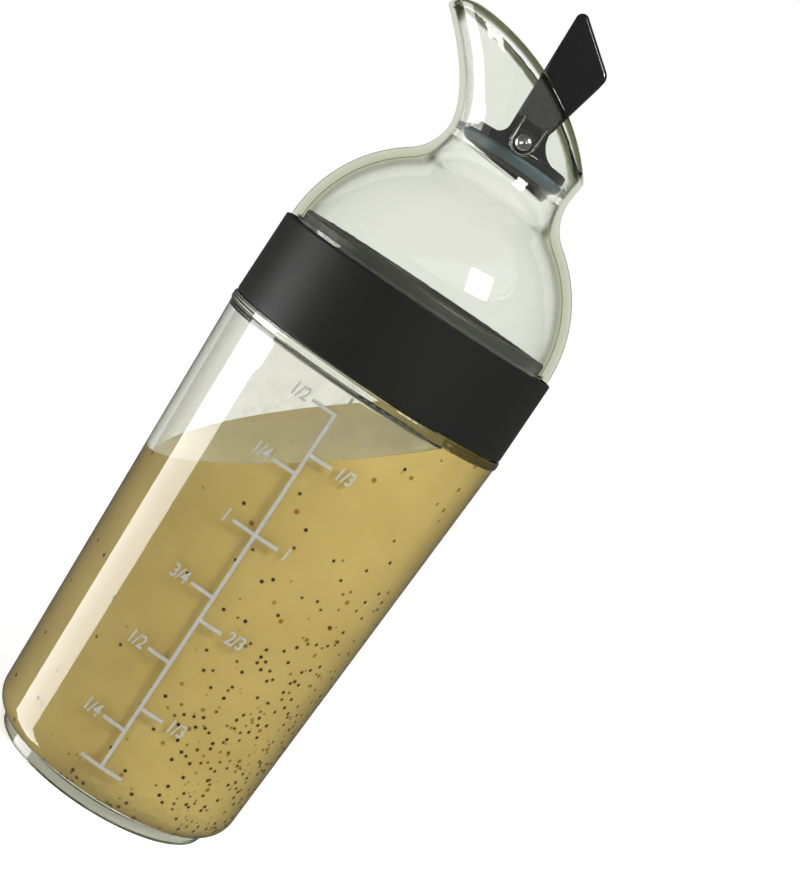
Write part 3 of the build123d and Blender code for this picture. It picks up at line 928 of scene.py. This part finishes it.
def make_wall_film(material):
    """The film on the wall over the dressing, as an open band just off the wall's inner face."""
    build = bmesh.new()
    last = None
    for step in range(TURN_STEPS):
        turn = 2 * math.pi * step / TURN_STEPS
        edge_z = edge_height(turn)
        if edge_z >= FILM_TOP_Z:
            last = None
            continue
        column = []
        for row in range(FILM_ROWS + 1):
            z = edge_z + (FILM_TOP_Z - edge_z) * row / FILM_ROWS
            r = inside_radius(z) - WETTED - FILM_PROUD
            column.append(build.verts.new((r * math.cos(turn), r * math.sin(turn), z)))
        if last:
            for row in range(FILM_ROWS):
                build.faces.new((last[row], last[row + 1], column[row + 1], column[row]))
        last = column
    mesh = bpy.data.meshes.new("dressing_film")
    build.to_mesh(mesh)
    build.free()
    new_piece("dressing_film", mesh, [material])


def bead_place(share):
    """Point, outward direction and radius of an ear's bead, from one rib's tip at -1 to the other's at 1."""
    # the middle half is the U, and the rest is the two ribs
    if abs(share) < 0.5:
        turn = share * math.pi
        outward = (math.sin(turn), -math.cos(turn))
        radius = BEAD_THIN + (BEAD_THICK - BEAD_THIN) * (2 * share) ** 2
        return (BEAD_BEND * outward[0], PIN_Z + BEAD_BEND * outward[1]), outward, radius
    hand = math.copysign(1, share)
    rise = min(2 * abs(share) - 1, BEAD_TIP)
    radius = BEAD_THICK * (1 - rise) ** BEAD_TAPER
    return (hand * BEAD_BEND, PIN_Z + rise * BEAD_RISE), (hand, 0), radius


def make_ear_beads(material):
    """A rounded bead on each ear: a U round the pin's head whose ends run up as tapered ribs."""
    lid = nodes["lid_shell"]
    scene_now = bpy.context.evaluated_depsgraph_get()
    build = bmesh.new()
    for side in (-1, 1):
        rings = []
        for step in range(BEAD_STEPS + 1):
            (x, z), outward, radius = bead_place(2 * step / BEAD_STEPS - 1)
            start = Vector((x, side * TOP_R, z))
            met, spot, _, _ = lid.ray_cast(start, Vector((0, -side, 0)), depsgraph=scene_now)
            if not met:
                raise RuntimeError("no ear under the bead")
            ring = []
            for corner in range(BEAD_SIDES):
                turn = 2 * math.pi * corner / BEAD_SIDES
                out = radius * math.cos(turn)
                proud = radius * math.sin(turn)
                place = (x + outward[0] * out, spot.y + proud, z + outward[1] * out)
                ring.append(build.verts.new(place))
            rings.append(ring)
        for lower, upper in zip(rings, rings[1:]):
            join_rings(build, lower, upper)
        build.faces.new(rings[0])
        build.faces.new(rings[-1])
    bmesh.ops.recalc_face_normals(build, faces=build.faces)
    mesh = bpy.data.meshes.new("ear_beads")
    build.to_mesh(mesh)
    build.free()
    new_piece("ear_beads", mesh, [material], "lid_body")


def figure_mesh(text, across, z, side, align):
    """A number wrapped on the bottle's wall, at the front where side is -1 and the rear where it is 1."""
    curve = bpy.data.curves.new("figure", "FONT")
    curve.body = text
    curve.size = FIGURE_HEIGHT / CAPITAL_SHARE
    curve.align_x = align
    curve.align_y = "CENTER"
    curve.shear = FIGURE_SHEAR
    curve.offset = FIGURE_WEIGHT
    holder = bpy.data.objects.new("figure", curve)
    bpy.context.scene.collection.objects.link(holder)
    bpy.context.view_layer.update()
    mesh = bpy.data.meshes.new_from_object(holder)
    bpy.data.objects.remove(holder)
    bpy.data.curves.remove(curve)
    build = bmesh.new()
    build.from_mesh(mesh)
    bmesh.ops.triangulate(build, faces=build.faces)
    for vert in build.verts:
        height = z + vert.co.y
        radius = wall_radius(height) + PRINT_PROUD
        turn = (across + vert.co.x * FIGURE_NARROW) / radius
        vert.co = (-side * radius * math.sin(turn), side * radius * math.cos(turn), height)
    build.to_mesh(mesh)
    build.free()
    return mesh


def make_figures(name, entries, material):
    """All the numbers of one scale as one piece."""
    whole = bmesh.new()
    for entry in entries:
        mesh = figure_mesh(*entry)
        whole.from_mesh(mesh)
        bpy.data.meshes.remove(mesh)
    mesh = bpy.data.meshes.new(name)
    whole.to_mesh(mesh)
    whole.free()
    new_piece(name, mesh, [material])


def paint(node_name, material):
    """Gives a CAD node its finish."""
    mesh = nodes[node_name].data
    for place in range(len(mesh.materials)):
        mesh.materials[place] = material


def aim(pan, tilt, roll):
    """Rotation of a camera that is panned, tilted and then rolled about its own line of sight."""
    forward = Vector(
        (math.sin(pan) * math.cos(tilt), math.cos(pan) * math.cos(tilt), math.sin(tilt))
    )
    right = Vector((math.cos(pan), -math.sin(pan), 0))
    up = right.cross(forward)
    across = right * math.cos(roll) + up * math.sin(roll)
    upward = up * math.cos(roll) - right * math.sin(roll)
    return Matrix((across, upward, -forward)).transposed()


def add_camera():
    """The camera at the photograph's viewing angle."""
    data = bpy.data.cameras.new("camera")
    data.lens = CAMERA_LENS
    data.sensor_width = SENSOR_WIDTH
    camera = bpy.data.objects.new("camera", data)
    bpy.context.scene.collection.objects.link(camera)
    camera.location = CAMERA_PLACE
    camera.rotation_euler = aim(CAMERA_PAN, CAMERA_TILT, CAMERA_ROLL).to_euler()
    bpy.context.scene.camera = camera


def add_softbox(name, place, target, size, radiance):
    """A rectangular studio light that faces a point, given by how bright its face is."""
    width, height = size
    data = bpy.data.lights.new(name, "AREA")
    data.shape = "RECTANGLE"
    data.size = width
    data.size_y = height
    data.energy = radiance * math.pi * width * height
    light = bpy.data.objects.new(name, data)
    bpy.context.scene.collection.objects.link(light)
    light.location = place
    light.rotation_euler = (Vector(target) - Vector(place)).to_track_quat("-Z", "Y").to_euler()
    light.visible_camera = False
    return light


def add_surround():
    """White to the eye and through clear walls, dimmer to what has met a glossy or matt surface."""
    world = bpy.data.worlds.new("surround")
    bpy.context.scene.world = world
    world.use_nodes = True
    world.node_tree.nodes.clear()
    path = add_node(world, "ShaderNodeLightPath")
    heading = add_node(world, "ShaderNodeTexCoord")
    apart = add_node(world, "ShaderNodeSeparateXYZ", {"Vector": heading.outputs["Generated"]})
    level = add_node(
        world,
        "ShaderNodeMapRange",
        {
            "Value": apart.outputs["Z"],
            "From Min": CEILING_FROM,
            "From Max": CEILING_FULL,
            "To Min": 1.0,
            "To Max": SURROUND_CEILING,
        },
    )
    strength = level.outputs["Result"]
    for kind, brightness in (
        ("Glossy Depth", SURROUND_INSIDE),
        ("Is Reflection Ray", SURROUND_GLOSSY),
        ("Is Camera Ray", 1.0),
        ("Diffuse Depth", SURROUND_MATT),
    ):
        choice = add_node(
            world, "ShaderNodeMix", {0: path.outputs[kind], 2: strength, 3: brightness}
        )
        strength = choice.outputs[0]
    light = add_node(
        world, "ShaderNodeBackground", {"Color": linear("#FFFFFF"), "Strength": strength}
    )
    add_node(world, "ShaderNodeOutputWorld", {"Surface": light.outputs["Background"]})


def add_floor():
    """A plain pale floor that keeps the shadow and lets the strip light's lower end reach the shaker."""
    build = bmesh.new()
    bmesh.ops.create_grid(build, x_segments=1, y_segments=1, size=FLOOR_REACH)
    mesh = bpy.data.meshes.new("floor")
    build.to_mesh(mesh)
    build.free()
    floor = bpy.data.objects.new("floor", mesh)
    bpy.context.scene.collection.objects.link(floor)
    mesh.materials.append(studio_paper())
    floor.visible_glossy = False
    floor.visible_shadow = False


def add_lights():
    """A tall strip light at the left, which shows only as reflections, and a window light at the right."""
    strip = add_softbox("strip_light", STRIP_PLACE, STRIP_TARGET, STRIP_SIZE, STRIP_RADIANCE)
    strip.visible_diffuse = False
    add_softbox("window_light", WINDOW_PLACE, WINDOW_TARGET, WINDOW_SIZE, WINDOW_RADIANCE)


# The CAD nodes and their finishes
FINISHES = {
    # clear walls: edge is their painted grazing shade, and the last two give their painted band shade and
    # where it falls
    "bottle": clear_copolyester(
        "clear_copolyester_body",
        tint="#FAFBF8",
        edge="#787C68",
        painted_edge_share=0.0,
        painted_band_shade="#B4B6A9",
        painted_band_share=foot_share,
    ),
    "lid_shell": clear_copolyester(
        "clear_copolyester_lid",
        tint="#FAFBF7",
        edge="#A9AC97",
        painted_edge_share=0.95,
        painted_band_shade="#6C7057",
        painted_band_share=rim_share,
    ),
    "grip_collar": overmoulded_elastomer(),
    "lid_gasket": moulded_silicone("dark_silicone", "#34362E", "#23241F"),
    "stopper_seal": moulded_silicone("blue_grey_silicone", "#4A5964", "#36424B"),
    "pivot_pin": turned_stainless(),
    "lever": polished_abs(),
    "cup_scale": screen_print(),
}
FINISHES["pin_cap"] = FINISHES["pivot_pin"]
FINISHES["stopper_plug"] = FINISHES["lever"]
FINISHES["ounce_scale"] = FINISHES["cup_scale"]
for node_name, finish in FINISHES.items():
    paint(node_name, finish)

# Pieces that only this script has
make_dressing_fill(mustard_dressing(), oily_surface())
make_wall_film(clinging_film())
make_ear_beads(FINISHES["lid_shell"])

# Numbers of the two scales: text, place across the wall, height, front or rear, and alignment
cup_entries = [
    (text, SCALE_X - TICK - FIGURE_GAP, volume_height(CUP_VOLUME * cups), -1, "RIGHT")
    for cups, text in QUARTER_FIGURES.items()
] + [
    (text, SCALE_X + TICK + FIGURE_GAP, volume_height(CUP_VOLUME * cups), -1, "LEFT")
    for cups, text in THIRD_FIGURES.items()
]
ounce_entries = [
    (str(ounces), -TICK - FIGURE_GAP, volume_height(OUNCE_VOLUME * ounces), 1, "RIGHT")
    for ounces in OUNCE_FIGURES
]
make_figures("cup_figures", cup_entries, FINISHES["cup_scale"])
make_figures("ounce_figures", ounce_entries, FINISHES["ounce_scale"])

# Studio
add_camera()
add_surround()
add_floor()
add_lights()

bpy.context.scene.view_settings.view_transform = "Standard"
